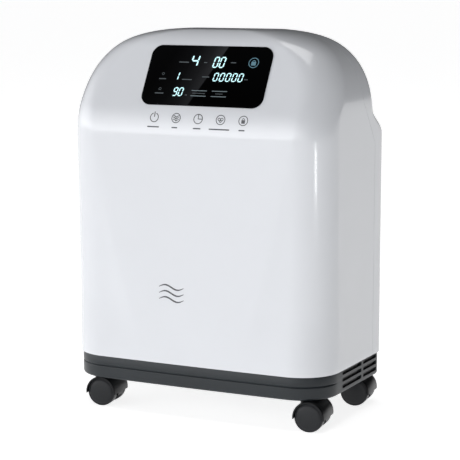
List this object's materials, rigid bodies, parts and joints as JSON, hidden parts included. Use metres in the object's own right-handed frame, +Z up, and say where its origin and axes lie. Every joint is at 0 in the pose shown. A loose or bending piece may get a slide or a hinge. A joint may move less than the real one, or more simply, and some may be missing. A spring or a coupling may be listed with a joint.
{
  "type": "oxygen concentrator",
  "caption": "Upright home oxygen concentrator with an arched white housing, leaning touch display, dark louvred base tray and hooded twin-wheel swivel casters.",
  "frame": {"origin": "on the floor under the middle of the machine", "axes": "+Z up, the control panel faces -Y, +X is the viewer's right"},
  "size_m": [0.375, 0.2142, 0.502],
  "materials": {
    "shell_white": "gloss moulded",
    "tray_charcoal": "fine satin texture",
    "window_black": "polished",
    "digit_cyan": "lit segments",
    "symbol_grey": "printed",
    "board_green": "solder mask",
    "caster_black": "satin nylon",
    "wheel_black": "satin nylon",
    "steel": "turned",
    "zinc_plate": "zinc plated",
    "aluminium": "satin",
    "rubber": "moulded",
    "zeolite": "granular bed",
    "inner_white": "moulded",
    "inner_black": "moulded",
    "silicone": "soft tube",
    "foam": "open cell foam",
    "pin_brass": "plated",
    "winding": "lacquered"
  },
  "bodies": {
    "body": {"front_housing": "shell_white", "rear_housing": "shell_white", "base_tray": "tray_charcoal", "display_lens": "window_black", "display_digits": "digit_cyan", "display_board": "board_green", "touch_icons": "symbol_grey", "touch_board": "board_green", "louvre_screens": "inner_black", "chassis_plate": "zinc_plate", "compressor_mounts": "rubber", "compressor_motor": "aluminium", "compressor_head_left": "aluminium", "compressor_head_right": "aluminium", "heat_exchanger": "aluminium", "inner_frame": "inner_white", "fan_frame": "inner_black", "sieve_towers": "aluminium", "zeolite_beds": "zeolite", "tower_caps": "inner_black", "tower_bracket": "inner_white", "valve_block": "aluminium", "solenoid_coils": "winding", "product_tank": "inner_white", "exhaust_muffler": "inner_black", "power_supply": "zinc_plate", "start_capacitor": "inner_white", "control_board": "board_green", "oxygen_sensor": "inner_white", "pressure_regulator": "aluminium", "flow_valve": "inner_white", "filter_tray": "inner_white", "filter_foam": "foam", "power_inlet": "inner_black", "inlet_pins": "pin_brass", "switch_frame": "inner_black", "oxygen_outlet": "inner_white", "rear_screws": "steel", "feed_tube": "silicone", "product_tube": "silicone", "caster_stems": "steel"},
    "fan": {"fan_rotor": "inner_black"},
    "rear_cover": {"filter_cover": "shell_white"},
    "rocker": {"power_rocker": "inner_black"},
    "caster_fl": {"caster_hood_fl": "caster_black", "caster_axle_fl": "steel"},
    "wheel_fl_near": {"wheel_fl_near": "wheel_black"},
    "wheel_fl_far": {"wheel_fl_far": "wheel_black"},
    "caster_fr": {"caster_hood_fr": "caster_black", "caster_axle_fr": "steel"},
    "wheel_fr_near": {"wheel_fr_near": "wheel_black"},
    "wheel_fr_far": {"wheel_fr_far": "wheel_black"},
    "caster_rl": {"caster_hood_rl": "caster_black", "caster_axle_rl": "steel"},
    "wheel_rl_near": {"wheel_rl_near": "wheel_black"},
    "wheel_rl_far": {"wheel_rl_far": "wheel_black"},
    "caster_rr": {"caster_hood_rr": "caster_black", "caster_axle_rr": "steel"},
    "wheel_rr_near": {"wheel_rr_near": "wheel_black"},
    "wheel_rr_far": {"wheel_rr_far": "wheel_black"}
  },
  "joints": [
    {"name": "fan_spin", "type": "hinge", "parent": "body", "child": "fan", "pos_m": [-0.012, 0, 0.255], "axis": [0, 0, 1], "continuous": true},
    {"name": "cover_pull", "type": "slide", "parent": "body", "child": "rear_cover", "axis": [0, 1, 0], "range_m": [0, 0.03]},
    {"name": "rocker_tilt", "type": "hinge", "parent": "body", "child": "rocker", "pos_m": [-0.115, 0.101, 0.155], "axis": [1, 0, 0], "range_deg": [-8, 8]},
    {"name": "swivel_fl", "type": "hinge", "parent": "body", "child": "caster_fl", "pos_m": [-0.152, -0.075, 0.04], "axis": [0, 0, 1], "continuous": true},
    {"name": "roll_fl_near", "type": "hinge", "parent": "caster_fl", "child": "wheel_fl_near", "pos_m": [-0.14307, -0.0739, 0.019], "axis": [-0.1219, 0.9925, 0], "continuous": true},
    {"name": "roll_fl_far", "type": "hinge", "parent": "caster_fl", "child": "wheel_fl_far", "pos_m": [-0.14307, -0.0739, 0.019], "axis": [-0.1219, 0.9925, 0], "continuous": true},
    {"name": "swivel_fr", "type": "hinge", "parent": "body", "child": "caster_fr", "pos_m": [0.152, -0.075, 0.04], "axis": [0, 0, 1], "continuous": true},
    {"name": "roll_fr_near", "type": "hinge", "parent": "caster_fr", "child": "wheel_fr_near", "pos_m": [0.16093, -0.0739, 0.019], "axis": [-0.1219, 0.9925, 0], "continuous": true},
    {"name": "roll_fr_far", "type": "hinge", "parent": "caster_fr", "child": "wheel_fr_far", "pos_m": [0.16093, -0.0739, 0.019], "axis": [-0.1219, 0.9925, 0], "continuous": true},
    {"name": "swivel_rl", "type": "hinge", "parent": "body", "child": "caster_rl", "pos_m": [-0.152, 0.075, 0.04], "axis": [0, 0, 1], "continuous": true},
    {"name": "roll_rl_near", "type": "hinge", "parent": "caster_rl", "child": "wheel_rl_near", "pos_m": [-0.14307, 0.0761, 0.019], "axis": [-0.1219, 0.9925, 0], "continuous": true},
    {"name": "roll_rl_far", "type": "hinge", "parent": "caster_rl", "child": "wheel_rl_far", "pos_m": [-0.14307, 0.0761, 0.019], "axis": [-0.1219, 0.9925, 0], "continuous": true},
    {"name": "swivel_rr", "type": "hinge", "parent": "body", "child": "caster_rr", "pos_m": [0.152, 0.075, 0.04], "axis": [0, 0, 1], "continuous": true},
    {"name": "roll_rr_near", "type": "hinge", "parent": "caster_rr", "child": "wheel_rr_near", "pos_m": [0.16093, 0.0761, 0.019], "axis": [-0.1219, 0.9925, 0], "continuous": true},
    {"name": "roll_rr_far", "type": "hinge", "parent": "caster_rr", "child": "wheel_rr_far", "pos_m": [0.16093, 0.0761, 0.019], "axis": [-0.1219, 0.9925, 0], "continuous": true}
  ]
}
